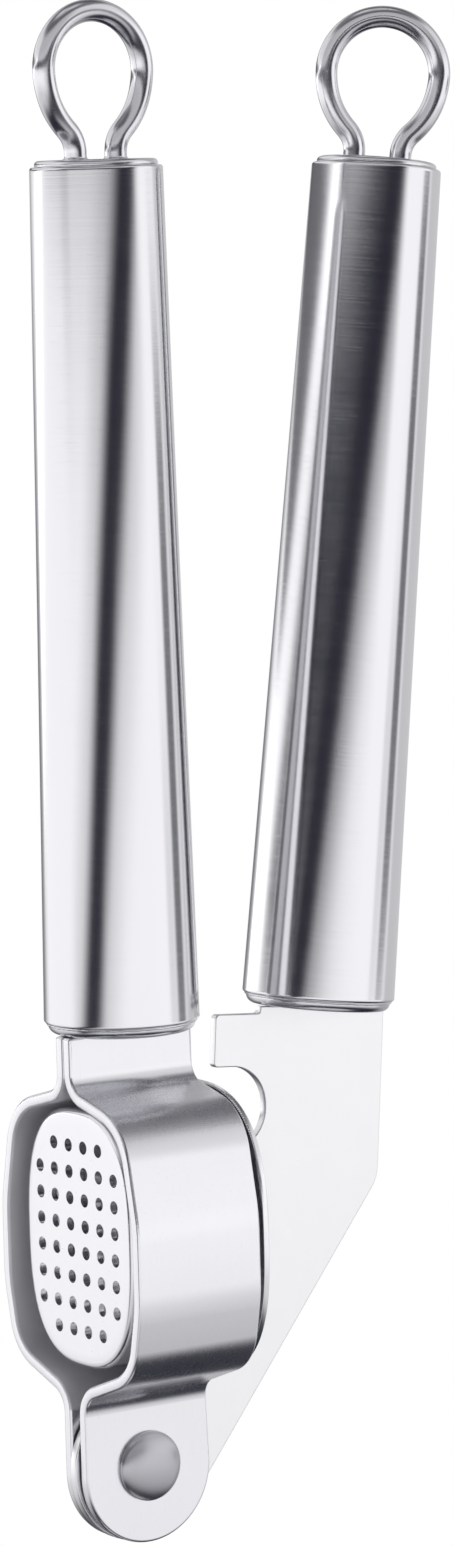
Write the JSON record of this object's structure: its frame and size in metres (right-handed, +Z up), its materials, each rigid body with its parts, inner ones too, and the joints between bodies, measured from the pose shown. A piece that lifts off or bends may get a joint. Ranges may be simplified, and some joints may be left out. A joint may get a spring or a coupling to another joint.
{
  "type": "garlic press",
  "caption": "Hand press for garlic: two tube handles with wire hanging loops, a strap chamber with a perforated cup, and a plate lever that swings a plunger into the cup.",
  "frame": {"origin": "inner top of the chamber handle's wire loop, where the press hangs from a hook", "axes": "+Z up the chamber handle, +X from the sieve towards the lever, +Y along the hinge rivet"},
  "size_m": [0.0613, 0.031, 0.1918],
  "materials": {
    "satin_steel": "satin stainless sheet with a fine lengthwise grain",
    "tube_steel": "finely brushed stainless tube, near mirror across the grain",
    "cap_steel": "turned and polished stainless end cap",
    "plate_steel": "matt, even stainless plate",
    "polished_steel": "polished stainless wire and rivet"
  },
  "bodies": {
    "chamber_half": {"near_strap": "satin_steel", "far_strap": "satin_steel", "sieve_cup": "satin_steel", "hinge_rivet": "polished_steel", "near_hinge_washer": "satin_steel", "far_hinge_washer": "satin_steel", "chamber_handle_tube": "tube_steel", "chamber_handle_lower_cap": "cap_steel", "chamber_handle_upper_cap": "cap_steel", "chamber_handle_loop": "polished_steel"},
    "lever_half": {"lever_plate": "plate_steel", "lever_handle_tube": "tube_steel", "lever_handle_lower_cap": "cap_steel", "lever_handle_upper_cap": "cap_steel", "lever_handle_loop": "polished_steel"},
    "plunger": {"plunger_plate": "satin_steel", "plunger_bracket": "satin_steel", "plunger_pin": "polished_steel"}
  },
  "joints": [
    {"name": "lever_hinge", "type": "hinge", "parent": "chamber_half", "child": "lever_half", "pos_m": [0.00045, 0, -0.1793], "axis": [0, 1, 0], "range_deg": [-4.3, 95]},
    {"name": "plunger_swing", "type": "hinge", "parent": "lever_half", "child": "plunger", "pos_m": [0.00332, 0, -0.14642], "axis": [0, 1, 0], "range_deg": [-57.5, 3]}
  ],
  "couplings": [
    {"joint": "plunger_swing", "follows": "lever_hinge", "ratio": -0.6}
  ]
}
